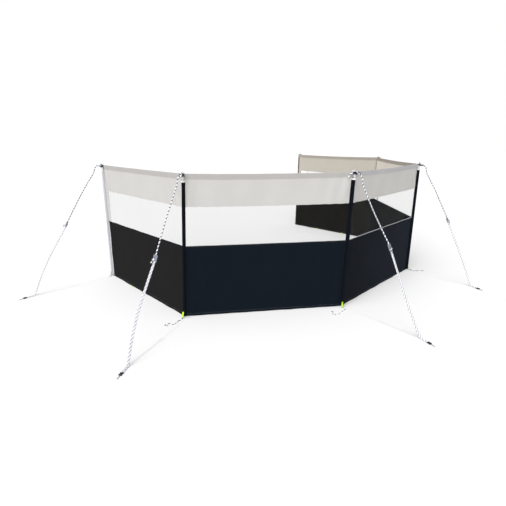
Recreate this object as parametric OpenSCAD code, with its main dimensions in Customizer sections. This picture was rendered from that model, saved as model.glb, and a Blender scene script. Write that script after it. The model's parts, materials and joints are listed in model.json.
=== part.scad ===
// Five-bay windbreak, set out as a horseshoe and held by six poles with guy ropes.
// Millimetres, +Z up. The ground is at z = 0, and the origin is the middle of the ground
// that the object and its guy ropes cover.

/* [Bays] */
// Distance between two neighbouring poles, foot to foot
bay_w = 1650; // [1200:10:2000]
// Height of the top edge of the fabric
fabric_top = 1410; // [1100:10:1700]
// Gap between the ground and the lower edge of the fabric
ground_gap = 5; // [3:1:20]
// Height of the dark hem along the top edge
hem_h = 50; // [30:5:80]
// Height of the pale band under the hem
band_h = 245; // [150:5:300]
// Height of the clear window under the pale band
window_h = 390; // [250:5:450]
// Thickness of the fabric
fabric_t = 3; // [2:0.5:6]
// Fabric that runs on past the two end poles
end_over = 16; // [14:1:40]
// Width of the pale hem beside the window at the two free ends
end_hem_w = 45; // [15:1:80]

/* [Setting out] */
// Direction of each bay, from the left end round to the back, degrees from +X
bay_heading = [-46, 8.5, 45.5, 90.5, 136]; // [-90:0.5:180]
// How far each pole's top stands from over its foot, along X and Y
pole_lean = [[30, -5], [55, 25], [30, 0], [-10, 0], [10, 0], [20, -5]]; // [-60:5:60]

/* [Poles] */
// Outer diameter of the pole tube
pole_d = 19; // [16:0.5:25]
// Diameter of the spike on top of the pole
spike_d = 6; // [4:0.5:8]
// Length of the spike above the cap
spike_h = 30; // [20:1:60]
// Wall thickness of the black cap on the tube
cap_wall = 2.7; // [1.5:0.1:5]
// Height of the cap
cap_h = 20; // [14:1:30]
// How far the cap's top lies under the top edge of the fabric
cap_drop = 0; // [0:1:20]
// How far the foot plug stands out around the tube
foot_rim = 2.5; // [0:0.5:8]
// Height of the foot plug
foot_h = 15; // [8:1:30]

/* [Sleeves] */
// Wall thickness of the sleeve that holds the pole to the fabric
sleeve_wall = 4; // [2:0.5:6]
// Length of bare pole between the top edge of the fabric and the sleeve
sleeve_drop = 62; // [40:2:150]

/* [Guy ropes] */
// Diameter of the rope
rope_d = 10; // [3:0.5:12]
// Ground distance from each pole to where its guy rope meets the ground
guy_reach = [920, 905, 860, 800, 860, 905]; // [600:5:1200]
// Direction of each guy rope, degrees from +X
guy_bearing = [225, 251, 310, 312, 65, 46]; // [0:1:360]
// Direction of the last stretch on the ground, degrees from +X
tail_bearing = [230, 260, 294, 293, 65, 46]; // [0:1:360]
// Length of the last stretch on the ground
tail_l = 84; // [40:2:150]
// Place of the runner, as a share of the rope from its knot to the ground
runner_share = 0.464; // [0.3:0.002:0.7]
// How far the runner pulls the rope outward from a straight line
runner_bow = 33; // [0:1:60]
// Length, width and thickness of the runner
runner_size = [74, 40, 12]; // [6:1:90]
// Length, width and thickness of the hook at the rope's end
hook_size = [36, 28, 12]; // [8:1:60]
// Length of the steel pin beyond the hook
pin_l = 44; // [20:2:80]
// Diameter of the steel pin
pin_d = 6; // [4:0.5:10]

/* [Pegging points] */
// Width of the webbing tabs
tab_w = 20; // [12:1:30]
// Thickness of the webbing
tab_t = 2.5; // [1.5:0.5:4]
// Height of the tab at the foot of a pole
post_tab_h = 54; // [30:2:80]
// Height of a tab on the lower edge of a bay
peg_tab_h = 16; // [10:1:30]
// How far a tab on the lower edge reaches in over the ground
peg_tab_reach = 18; // [10:1:40]
// Radius of the ring at the foot of a pole, to the middle of its wire
ring_r = 12; // [6:0.5:18]
// Diameter of the ring's wire
ring_wire = 4; // [2:0.5:6]
// Diameter of the loose cord at the foot of a pole
cord_d = 6; // [3:0.5:8]

/* [Hidden] */
$fn = 48;
// Gap between pieces that touch in use
fit = 0.3;
posts = 6;
bays = 5;

pole_r = pole_d / 2;
sleeve_r = pole_r + fit + sleeve_wall;
face_d = sleeve_r + fit;                 // outer face of the fabric, from a pole's axis
cap_r = pole_r + fit + cap_wall;
foot_r = pole_r + foot_rim;
cap_top = fabric_top - cap_drop;
cap_bottom = cap_top - cap_h;
tube_top = cap_top - 4;                  // the cap's end wall is 4 thick
sleeve_top = fabric_top - sleeve_drop;
sleeve_bottom = foot_h + 3;
hem_z = fabric_top - hem_h;
band_z = hem_z - band_h;
window_z = band_z - window_h;
eye_z = cap_top + fit + rope_d / 2;
eye_r = spike_d / 2 + rope_d / 2 + 2;    // the rope's eye, slack around the spike
knot_out = 45;                           // the eye's knot, from the pole's axis
strand_gap = rope_d / 2 + 1;             // from the rope's middle to each lower strand
strip_w = end_over + sleeve_r + end_hem_w;
ring_x = sleeve_r + fit + tab_t + fit + ring_r + ring_wire / 2;
cord_x = ring_x + ring_r + ring_wire / 2 + fit;  // where a loose cord starts

// Loose cords on the ground at poles 2 to 5: each starts at the pole's ring and then goes
// through these points, measured from the pole's foot
cord_posts = [1, 2, 3, 4];
cord_routes = [
    [[-21, -60], [-42, -88], [-58, -130], [-74, -158], [-98, -152], [-130, -142],
     [-152, -154], [-152, -180], [-134, -184]],
    [[27, -58], [-2, -98], [-38, -138], [-68, -176], [-96, -190], [-122, -184],
     [-130, -160], [-120, -138], [-128, -112]],
    [[56, -26], [64, -46], [82, -56], [110, -54], [140, -50], [170, -52], [196, -50]],
    [[58, 24], [76, 40], [98, 48], [122, 42], [146, 46], [168, 60], [176, 84]]
];

function dir(a) = [cos(a), sin(a)];
function left_of(a) = [-sin(a), cos(a)];
function with_z(p, z) = [p[0], p[1], z];
function sum_bays(n) = n == 0 ? [0, 0] : sum_bays(n - 1) + bay_w * dir(bay_heading[n - 1]);

// Ends of the guy ropes, before the layout is moved to its middle
function guy_ground(i) = sum_bays(i) + guy_reach[i] * dir(guy_bearing[i]);
function pin_tip(i) = guy_ground(i)
    + (tail_l + hook_size[0] + pin_l - pin_d / 2) * dir(tail_bearing[i]);
tips = [for (i = [0:posts - 1]) pin_tip(i)];
tip_x = [for (t = tips) t[0]];
tip_y = [for (t = tips) t[1]];
middle = [(min(tip_x) + max(tip_x)) / 2, (min(tip_y) + max(tip_y)) / 2];

function foot(i) = sum_bays(i) - middle;
function axis_at(i, z) = foot(i) + pole_lean[i] * z / cap_top;
function lean_tilt(i) = atan2(norm(pole_lean[i]), cap_top);
function lean_dir(i) = atan2(pole_lean[i][1], pole_lean[i][0]);

// Outward direction at a pole: square to an end bay, or halfway between two bays
function outward(i) =
    i == 0 ? bay_heading[0] - 90 :
    i == posts - 1 ? bay_heading[bays - 1] - 90 :
    (bay_heading[i - 1] + bay_heading[i]) / 2 - 90;

// The line where the fabric turns the corner behind pole i: its outer face at depth 0, and
// its inner face at depth fabric_t
function corner(i, z, depth) =
    i == 0 ? axis_at(i, z) - dir(outward(i)) * (face_d + depth) - end_over * dir(bay_heading[i]) :
    i == posts - 1 ? axis_at(i, z) - dir(outward(i)) * (face_d + depth)
        + end_over * dir(bay_heading[i - 1]) :
    axis_at(i, z) - dir(outward(i)) * (face_d + depth / cos(half_turn(i)));
function half_turn(i) = (bay_heading[i] - bay_heading[i - 1]) / 2;

// A flat piece of fabric in bay i, between two heights. Each side is [pole, shift]: the corner
// line at that pole, moved by the shift along the bay.
module cloth(i, z0, z1, from, to) {
    along = dir(bay_heading[i]);
    function at(z, depth) = [with_z(corner(from[0], z, depth) + from[1] * along, z),
                             with_z(corner(to[0], z, depth) + to[1] * along, z)];
    polyhedron(
        points = concat(at(z0, 0), at(z0, fabric_t), at(z1, 0), at(z1, fabric_t)),
        faces = [[0, 1, 3], [0, 3, 2], [4, 7, 5], [4, 6, 7],
                 [0, 5, 1], [0, 4, 5], [2, 3, 7], [2, 7, 6],
                 [0, 2, 6], [0, 6, 4], [1, 7, 3], [1, 5, 7]]);
}

// Places its children in the frame of pole i: the foot at the origin, the axis along Z
module on_pole(i) {
    translate(with_z(foot(i), 0))
        rotate([0, 0, lean_dir(i)])
            rotate([0, lean_tilt(i), 0])
                rotate([0, 0, -lean_dir(i)])
                    children();
}

// Places its children on the ground at pole i, with X pointing outward
module outside_pole(i) {
    translate(with_z(foot(i), 0)) rotate([0, 0, outward(i)]) children();
}

// Places its children at the hook of guy rope i, with X along the rope's last stretch
module at_hook(i) {
    start = guy_ground(i) - middle + tail_l * dir(tail_bearing[i]);
    translate(with_z(start, 0)) rotate([0, 0, tail_bearing[i]]) children();
}

module rod(a, b, r) {
    d = b - a;
    translate(a)
        rotate([0, acos(d[2] / norm(d)), atan2(d[1], d[0])])
            cylinder(h = norm(d), r = r);
}

module bead(p, r) {
    translate(p) sphere(r = r);
}

// ---- fabric ----

module top_hem(i) {
    color([0.76, 0.75, 0.73]) cloth(i, hem_z, fabric_top, [i, 0], [i + 1, 0]);
}

module upper_band(i) {
    color([0.84, 0.83, 0.81]) cloth(i, band_z, hem_z, [i, 0], [i + 1, 0]);
}

module window(i) {
    first = i == 0 ? strip_w : 0;
    last = i == bays - 1 ? strip_w : 0;
    color([0.93, 0.94, 0.95, 0.35]) cloth(i, window_z, band_z, [i, first], [i + 1, -last]);
}

module lower_panel(i) {
    color([0.09, 0.12, 0.16]) cloth(i, ground_gap, window_z, [i, 0], [i + 1, 0]);
}

module end_hems() {
    color([0.84, 0.83, 0.81]) {
        cloth(0, window_z, band_z, [0, 0], [0, strip_w]);
        cloth(bays - 1, window_z, band_z, [bays, -strip_w], [bays, 0]);
    }
}

module sleeve(i) {
    at_end = i == 0 || i == posts - 1;
    color(at_end ? [0.78, 0.78, 0.8] : [0.08, 0.1, 0.15])
        on_pole(i)
            translate([0, 0, sleeve_bottom])
                difference() {
                    cylinder(h = sleeve_top - sleeve_bottom, r = sleeve_r);
                    translate([0, 0, -1])
                        cylinder(h = sleeve_top - sleeve_bottom + 2, r = pole_r + fit);
                }
}

// ---- poles ----

module pole(i) {
    color([0.8, 0.82, 0.85])
        on_pole(i) {
            translate([0, 0, foot_h + 1]) cylinder(h = tube_top - foot_h - 1, r = pole_r);
            translate([0, 0, tube_top - 1])
                cylinder(h = cap_top - tube_top + 1 + spike_h - spike_d / 2, r = spike_d / 2);
            translate([0, 0, cap_top + spike_h - spike_d / 2]) sphere(r = spike_d / 2);
        }
}

module pole_caps() {
    color([0.08, 0.08, 0.09])
        for (i = [0:posts - 1])
            on_pole(i)
                difference() {
                    translate([0, 0, cap_bottom]) cylinder(h = cap_h, r = cap_r);
                    translate([0, 0, cap_bottom - 1])
                        cylinder(h = tube_top + fit - cap_bottom + 1, r = pole_r + fit);
                    translate([0, 0, tube_top]) cylinder(h = cap_h, r = spike_d / 2 + fit);
                }
}

module pole_feet() {
    color([0.82, 0.83, 0.85])
        for (i = [0:posts - 1])
            translate(with_z(foot(i), 0)) cylinder(h = foot_h, r = foot_r);
}

// ---- guy ropes ----

function eye_center(i) = with_z(axis_at(i, eye_z), eye_z);
function on_ground(i, along, side) = with_z(
    guy_ground(i) - middle + along * dir(tail_bearing[i]) + side * left_of(tail_bearing[i]),
    rope_d / 2 + fit);
function knot_center(i) = eye_center(i) + knot_out * with_z(dir(guy_bearing[i]), 0);
function runner_center(i) = (1 - runner_share) * knot_center(i) + runner_share * on_ground(i, 0, 0)
    + runner_bow * with_z(dir(guy_bearing[i]), 0);
function unit(v) = v / norm(v);

module guy_rope(i) {
    r = rope_d / 2;
    out = with_z(dir(guy_bearing[i]), 0);
    side = with_z(left_of(guy_bearing[i]), 0);
    knot = knot_center(i);
    mid = runner_center(i);
    lower = unit(on_ground(i, 0, 0) - mid);
    bend = norm(cross(unit(knot - mid), lower));
    reach = runner_size[0] / 2 + fit;
    color([0.72, 0.73, 0.76]) {
        on_pole(i) translate([0, 0, eye_z])
            rotate_extrude() translate([eye_r, 0]) circle(r = r);
        rod(eye_center(i) + (eye_r + r / 2) * out, knot, r);
        bead(knot, r + 1.5);
        rod(knot, mid - (reach + r * bend) * lower, r);
        for (s = [-strand_gap, strand_gap]) {
            rod(mid + reach * lower + s * side, on_ground(i, 0, s), r);
            bead(on_ground(i, 0, s), r + 0.2);
            rod(on_ground(i, 0, s), on_ground(i, tail_l - fit, s), r);
        }
    }
}

module guy_runners() {
    color([0.4, 0.42, 0.47])
        for (i = [0:posts - 1]) {
            mid = runner_center(i);
            lower = unit(on_ground(i, 0, 0) - mid);
            translate(mid)
                rotate([0, acos(lower[2]), atan2(lower[1], lower[0])])
                    translate([-runner_size[2] / 2, -runner_size[1] / 2, -runner_size[0] / 2])
                        cube([runner_size[2], runner_size[1], runner_size[0]]);
        }
}

module guy_hooks() {
    color([0.05, 0.05, 0.06])
        for (i = [0:posts - 1])
            at_hook(i)
                translate([0, -hook_size[1] / 2, 0])
                    cube([hook_size[0], hook_size[1], hook_size[2]]);
}

module hook_pins() {
    color([0.62, 0.61, 0.6])
        for (i = [0:posts - 1])
            at_hook(i)
                translate([hook_size[0] + fit, 0, pin_d / 2 + fit]) {
                    rotate([0, 90, 0]) cylinder(h = pin_l - pin_d / 2 - fit, r = pin_d / 2);
                    translate([pin_l - pin_d / 2 - fit, 0, 0]) sphere(r = pin_d / 2);
                }
}

// ---- webbing and rings at the ground ----

module tab_at(i) {
    on_pole(i)
        rotate([0, 0, outward(i)])
            translate([sleeve_r + fit, -tab_w / 2, 2])
                cube([tab_t, tab_w, post_tab_h]);
}

module post_tabs() {
    color([0.8, 1, 0.2]) for (i = [1:posts - 2]) tab_at(i);
}

module end_tabs() {
    color([0.78, 0.79, 0.8]) for (i = [0, posts - 1]) tab_at(i);
}

module base_rings() {
    color([0.75, 0.76, 0.78])
        for (i = [0:posts - 1])
            outside_pole(i)
                translate([ring_x, 0, ring_wire / 2])
                    rotate_extrude() translate([ring_r, 0]) circle(r = ring_wire / 2);
}

module peg_tabs() {
    color([0.8, 1, 0.2])
        for (i = [0:bays - 1], share = [1 / 3, 2 / 3]) {
            a = corner(i, peg_tab_h, fabric_t);
            b = corner(i + 1, peg_tab_h, fabric_t);
            translate(with_z(a + (b - a) * share, 0))
                rotate([0, 0, atan2(b[1] - a[1], b[0] - a[0])])
                    translate([-tab_w / 2, fit, fit]) {
                        cube([tab_w, tab_t, peg_tab_h]);
                        cube([tab_w, tab_t + peg_tab_reach, tab_t]);
                    }
        }
}

// A loose cord: one tube swept along the curve through its route's points
module base_cord(n) {
    i = cord_posts[n];
    route = concat([cord_x * dir(outward(i))], cord_routes[n]);
    path = curve([for (p = route) with_z(foot(i) + p, cord_d / 2 + fit)]);
    ring = [for (k = [0:7]) 45 * k + 22.5];
    rows = [for (j = [0:len(path) - 1])
        let (a = path[max(j - 1, 0)], b = path[min(j + 1, len(path) - 1)],
             across = left_of(atan2(b[1] - a[1], b[0] - a[0])))
        [for (t = ring) path[j] + cord_d / 2 * (cos(t) * with_z(across, 0) + sin(t) * [0, 0, 1])]];
    last = 8 * (len(path) - 1);
    color([0.85, 0.86, 0.88])
        polyhedron(
            points = [for (row = rows) each row],
            faces = concat(
                [[for (k = [0:7]) 7 - k]],
                [[for (k = [0:7]) last + k]],
                [for (j = [0:len(path) - 2], k = [0:7])
                    let (a = 8 * j + k, b = 8 * j + (k + 1) % 8) each
                    [[a, b, b + 8], [a, b + 8, a + 8]]]));
}

// Points on a smooth curve through p, with one more point between each pair
function curve(p) = concat(
    [for (j = [0:len(p) - 2]) each [p[j], between(p, j)]],
    [p[len(p) - 1]]);
function between(p, j) =
    (9 * (p[j] + p[j + 1]) - p[max(j - 1, 0)] - p[min(j + 2, len(p) - 1)]) / 16;

for (i = [0:bays - 1]) {
    top_hem(i);
    upper_band(i);
    window(i);
    lower_panel(i);
}
for (i = [0:posts - 1]) {
    pole(i);
    sleeve(i);
    guy_rope(i);
}
for (n = [0:3]) {
    base_cord(n);
}
end_hems();
pole_caps();
pole_feet();
guy_runners();
guy_hooks();
hook_pins();
post_tabs();
end_tabs();
base_rings();
peg_tabs();
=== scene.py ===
"""Looks of a five-bay fabric windbreak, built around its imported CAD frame. Metres, +Z up."""
import json
import math

import bpy
import numpy as np
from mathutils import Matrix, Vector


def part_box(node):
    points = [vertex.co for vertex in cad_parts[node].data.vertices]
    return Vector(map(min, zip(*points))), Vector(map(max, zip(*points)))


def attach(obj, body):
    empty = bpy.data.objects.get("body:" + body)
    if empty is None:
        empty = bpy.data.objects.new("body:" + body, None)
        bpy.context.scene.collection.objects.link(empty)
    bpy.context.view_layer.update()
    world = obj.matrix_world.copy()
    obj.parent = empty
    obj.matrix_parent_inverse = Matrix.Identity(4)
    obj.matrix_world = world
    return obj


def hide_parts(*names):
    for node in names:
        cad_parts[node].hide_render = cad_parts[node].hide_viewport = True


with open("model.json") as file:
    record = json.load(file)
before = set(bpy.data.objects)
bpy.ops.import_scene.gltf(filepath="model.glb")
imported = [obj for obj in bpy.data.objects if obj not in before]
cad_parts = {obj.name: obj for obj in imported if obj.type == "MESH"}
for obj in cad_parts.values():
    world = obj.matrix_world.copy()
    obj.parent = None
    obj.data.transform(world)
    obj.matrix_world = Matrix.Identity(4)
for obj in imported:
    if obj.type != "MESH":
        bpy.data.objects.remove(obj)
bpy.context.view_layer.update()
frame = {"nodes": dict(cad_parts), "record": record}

UP = np.array([0.0, 0.0, 1.0])
POLES = range(1, 7)
BAYS = range(1, 6)
END_POLES = (1, 6)

# ---- sizes that the frame doesn't give ----

CLOTH = 0.0012          # thickness of the cloth
SHEET = 0.0008          # thickness of the clear sheet
LAYER_GAP = 0.0002      # between layers of cloth
FREE_EDGE = 0.016       # cloth beyond the two end poles
TUBE_RADIUS = 0.0095
ROPE_RADIUS = 0.0060    # over its three strands
ROPE_LAY = 0.034        # one turn of the rope's strands
VALLEY = 0.26           # depth between the strands, as a share of the rope's radius
STRAND_SIDE = 0.006     # from the guy rope's middle to each of its two lower strands
ROPE_REST = 0.0003      # gap under a rope on the ground
GROUND_STRETCH = 0.084  # rope on the ground before the hook
KNOT_OUT = 0.045        # the eye's knot, from the pole's axis
CORD_RADIUS = 0.003
CORD_REST = 0.0003      # gap under a cord on the ground
CORD_START = 0.0452     # a loose cord's start, from the pole's foot

# Half width of each pole's sleeve at its seams, and the width of the flaps beyond them
SLEEVE_HALF = [0.0105, 0.0105, 0.0135, 0.0125, 0.0125, 0.0105]
FLAP = [0.0050, 0.0045, 0.0060, 0.0050, 0.0050, 0.0050]

# How far each guy rope's knot hangs below its eye, and how far the rope bows outwards above and
# below its runner
KNOT_DROP = [0.010, 0.024, 0.016, 0.026, 0.016, 0.010]
UPPER_BOW = [0.013, 0.010, -0.014, 0.010, 0.012, 0.012]
LOWER_BOW = [0.026, 0.045, -0.010, 0.010, 0.014, 0.020]

# How far a top edge hangs between its poles, where that isn't 10 mm
SAG = {1: 0.003}

# The loose cords' routes on the ground, measured from the foot of the pole
CORD_ROUTES = {
    2: [(-0.021, -0.060), (-0.042, -0.088), (-0.058, -0.130), (-0.074, -0.158), (-0.098, -0.152),
        (-0.130, -0.142), (-0.152, -0.154), (-0.152, -0.180), (-0.134, -0.184)],
    3: [(0.027, -0.058), (-0.002, -0.098), (-0.038, -0.138), (-0.068, -0.176), (-0.096, -0.190),
        (-0.122, -0.184), (-0.130, -0.160), (-0.120, -0.138), (-0.128, -0.112)],
    4: [(0.056, -0.026), (0.064, -0.046), (0.082, -0.056), (0.110, -0.054), (0.140, -0.050),
        (0.170, -0.052), (0.196, -0.050)],
    5: [(0.058, 0.024), (0.076, 0.040), (0.098, 0.048), (0.122, 0.042), (0.146, 0.046),
        (0.168, 0.060), (0.176, 0.084)],
}


# ---- reading the frame ----

def unit(v):
    v = np.asarray(v, float)
    return v / np.linalg.norm(v)


def points_of(node):
    return np.array([v.co for v in frame["nodes"][node].data.vertices])


def solids_of(node):
    """The points of each separate solid of a CAD node."""
    points, index = np.unique(points_of(node).round(5), axis=0, return_inverse=True)
    pairs = [tuple(e.vertices) for e in frame["nodes"][node].data.edges]
    edges = index.ravel()[np.array(pairs)]
    group = np.arange(len(points))
    while True:
        low = group[edges].min(1)
        new = group.copy()
        np.minimum.at(new, edges[:, 0], low)
        np.minimum.at(new, edges[:, 1], low)
        if (new == group).all():
            return [points[group == g] for g in np.unique(group)]
        group = new


def nearest(solids, point):
    return min(solids, key=lambda s: np.linalg.norm(s.mean(0) - point))


def box_axes(points):
    """The centre of a box-shaped solid and its axes, longest side first."""
    centre = (points.max(0) + points.min(0)) / 2 if len(points) != 8 else points.mean(0)
    return centre, np.linalg.svd(points - points.mean(0))[2]


def level(node, end):
    """Lowest (0) or highest (1) z of a CAD node."""
    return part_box(node)[end].z


HEM_Z = level("top_hem_1", 0)
TOP_Z = level("top_hem_1", 1)
BAND_Z = level("upper_band_1", 0)
WINDOW_Z = level("window_1", 0)
GAP_Z = level("lower_panel_1", 0)
SLEEVE_LOW = level("sleeve_1", 0)
SLEEVE_TOP = level("sleeve_1", 1)
CAP_TOP = level("pole_caps", 1)
CAP_LOW = level("pole_caps", 0)


class Pole:
    """The axis of one pole."""

    def __init__(self, number):
        mount = next(m for m in frame["record"]["mounts"] if m["name"] == f"foot_{number}_base")
        self.foot = np.array(mount["pos_m"], float)
        points = points_of(f"pole_{number}")
        tip = points[points[:, 2].argmax()]
        self.slope = (tip - self.foot) / (tip[2] - self.foot[2])
        self.axis = unit(self.slope)

    def at(self, z):
        return self.foot + self.slope * (z - self.foot[2])


class Bay:
    """The cloth of one bay, as a surface: a share along the bay, a height, a distance out."""

    def __init__(self, number):
        self.number = number
        self.along = unit(POLE[number + 1].foot - POLE[number].foot)
        self.out = np.array([self.along[1], -self.along[0], 0.0])
        ends = []
        for node, pick in ((f"lower_panel_{number}", min), (f"top_hem_{number}", max)):
            points = solids_of(node)[0]
            z = pick(points[:, 2])
            edge = points[abs(points[:, 2] - z) < 1e-4]
            edge = edge[np.argsort(edge @ self.along)]
            ends.append((edge[:2].mean(0), edge[2:].mean(0)))
        self.low, self.high = ends
        self.width = np.linalg.norm(self.low[1] - self.low[0])
        random = np.random.default_rng(number)
        self.belly = random.uniform(-0.007, 0.007)
        self.folds = []
        for at_start in (True, False):
            for height, spread in ((1.25, 0.20), (1.10, 0.30), (0.62, 0.30), (0.30, 0.35)):
                size = 1.7 if height > 1.2 else 1.0
                draws = [random.uniform(*ends) for ends in (
                    (0.0012, 0.0028), (0.07, 0.16), (0.10, 0.28), (-0.5, 0.5), (0, 6.28))]
                self.folds.append((at_start, height, spread, size * draws[0], *draws[1:]))
        self.ripples = [(random.uniform(0.0004, 0.0011), random.uniform(0.18, 0.5),
                         random.uniform(-0.8, 0.8), random.uniform(0, 6.28)) for _ in range(5)]

    def billow(self, u, z):
        """How far the cloth stands out of its flat panel."""
        start, end = u * self.width, (1 - u) * self.width
        height = (z - GAP_Z) / (TOP_Z - GAP_Z)
        total = self.belly * np.sin(np.pi * u) * np.sin(np.pi * np.clip(height, 0, 1))
        for at_start, middle, spread, size, wave, reach, slant, shift in self.folds:
            away = start if at_start else end
            taper = np.exp(-(away / reach) ** 2) * (1 - np.exp(-(away / 0.03) ** 2))
            zone = np.exp(-((z - middle) / spread) ** 2)
            turn = 2 * np.pi * (away + slant * (middle - z)) / wave + shift
            total = total + size * taper * zone * np.sin(turn)
        edge = np.minimum(start, end)
        inside = 1 - np.exp(-(edge / 0.08) ** 2)
        for size, wave, slant, shift in self.ripples:
            total = total + size * inside * np.sin(
                2 * np.pi * (start + slant * z) / wave + shift)
        return total

    def drop(self, u, z):
        """How far the cloth hangs below its level edges, with small waves along its seams."""
        height = np.clip((z - GAP_Z) / (TOP_Z - GAP_Z), 0, 1)
        sag = SAG.get(self.number, 0.010) * height ** 2 * 4 * u * (1 - u)
        start, end = u * self.width, (1 - u) * self.width
        near = np.exp(-(np.minimum(start, end) / 0.35) ** 2) * np.clip(4 * u * (1 - u), 0, 1) ** 0.5
        seam = np.exp(-((z - BAND_Z) / 0.10) ** 2)
        wave = 0.0035 * seam * near * np.sin(2 * np.pi * start / 0.11 + self.number)
        ground = 0.0012 * (1 - height) ** 8 * np.sin(2 * np.pi * start / 0.23 + 2 * self.number)
        return sag + wave + ground

    def point(self, u, z, out=0.0):
        u, z, out = np.broadcast_arrays(*(np.asarray(x, float) for x in (u, z, out)))
        share = (z - self.low[0][2]) / (self.high[0][2] - self.low[0][2])
        ends = [self.low[i] + share[..., None] * (self.high[i] - self.low[i]) for i in (0, 1)]
        place = ends[0] + u[..., None] * (ends[1] - ends[0])
        place = place + (out + self.billow(u, z))[..., None] * self.out
        return place - self.drop(u, z)[..., None] * UP

    def shares_of(self, node):
        """The first and last share along the bay that a CAD cloth node covers."""
        points = solids_of(node)[0]
        place = (points - self.low[0]) @ self.along
        start = [(self.point(0, z) - self.low[0]) @ self.along for z in points[:, 2]]
        share = np.sort((place - start) / self.width)
        half = len(share) // 2
        return share[:half].mean(), share[half:].mean()


POLE = {k: Pole(k) for k in POLES}
BAY = {k: Bay(k) for k in BAYS}


def outward(k):
    """Level direction out of the cloth at pole k, halfway between its two bays."""
    return unit(sum(BAY[b].out for b in (k - 1, k) if b in BAY))


def directions(k):
    """Out of the cloth at pole k, and level along it."""
    forward = outward(k)
    return forward, np.cross(UP, forward)


def beside(k, distance, z, out=0.0):
    """Point on the cloth beside pole k: distance is positive towards the next bay."""
    if k == 1:
        return BAY[1].point((FREE_EDGE + distance) / BAY[1].width, z, out)
    if k == 6:
        return BAY[5].point(1 - (FREE_EDGE - distance) / BAY[5].width, z, out)
    if distance >= 0:
        return BAY[k].point(distance / BAY[k].width, z, out)
    return BAY[k - 1].point(1 + distance / BAY[k - 1].width, z, out)


# ---- camera, light and floor ----

def add(name, data):
    made = bpy.data.objects.new(name, data)
    bpy.context.scene.collection.objects.link(made)
    return made


# The camera: its lens in mm, its place from the foot of pole 2, and how far it looks down
LENS = 26.64
CAMERA_PLACE = (0.6882, -3.4020, 1.7136)
CAMERA_DOWN = 17.02


def add_camera():
    """A camera at eye level in front of the second pole, looking along +Y and down."""
    camera = add("camera", bpy.data.cameras.new("camera"))
    camera.data.sensor_width = 36
    camera.data.lens = LENS
    camera.location = POLE[2].foot + CAMERA_PLACE
    camera.rotation_euler = (math.radians(90 - CAMERA_DOWN), 0, 0)
    bpy.context.scene.camera = camera


def add_light():
    """Even white surroundings, one very soft lamp from the front left and a faint one above."""
    world = bpy.data.worlds.new("studio")
    bpy.context.scene.world = world
    world.use_nodes = True
    nodes, links = world.node_tree.nodes, world.node_tree.links
    nodes.clear()
    rays, mix = nodes.new("ShaderNodeLightPath"), nodes.new("ShaderNodeMixShader")
    links.new(rays.outputs["Is Camera Ray"], mix.inputs["Fac"])
    for socket, strength in ((1, 0.52), (2, 1.0)):
        white = nodes.new("ShaderNodeBackground")
        white.inputs["Color"].default_value = (1, 1, 1, 1)
        white.inputs["Strength"].default_value = strength
        links.new(white.outputs[0], mix.inputs[socket])
    links.new(mix.outputs[0], nodes.new("ShaderNodeOutputWorld").inputs["Surface"])

    for name, energy, angle, tilt, turn in (("key_light", 3.15, 70, 42, -22),
                                            ("top_light", 0.6, 2, 0, 0)):
        lamp = add(name, bpy.data.lights.new(name, "SUN"))
        lamp.data.energy = energy
        lamp.data.angle = math.radians(angle)
        lamp.rotation_euler = (math.radians(tilt), 0, math.radians(turn))
    bpy.context.scene.view_settings.view_transform = "Standard"


def add_floor():
    half = 40.0
    corners = [(-half, -half, 0), (half, -half, 0), (half, half, 0), (-half, half, 0)]
    mesh = bpy.data.meshes.new("floor")
    mesh.from_pydata(corners, [], [(0, 1, 2, 3)])
    white = bpy.data.materials.new("floor_white")
    white.use_nodes = True
    shader = white.node_tree.nodes["Principled BSDF"]
    shader.inputs["Base Color"].default_value = (0.725, 0.725, 0.725, 1)
    shader.inputs["Roughness"].default_value = 0.9
    shader.inputs["Specular IOR Level"].default_value = 0.0
    mesh.materials.append(white)
    add("floor", mesh)


# ---- materials ----

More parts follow.
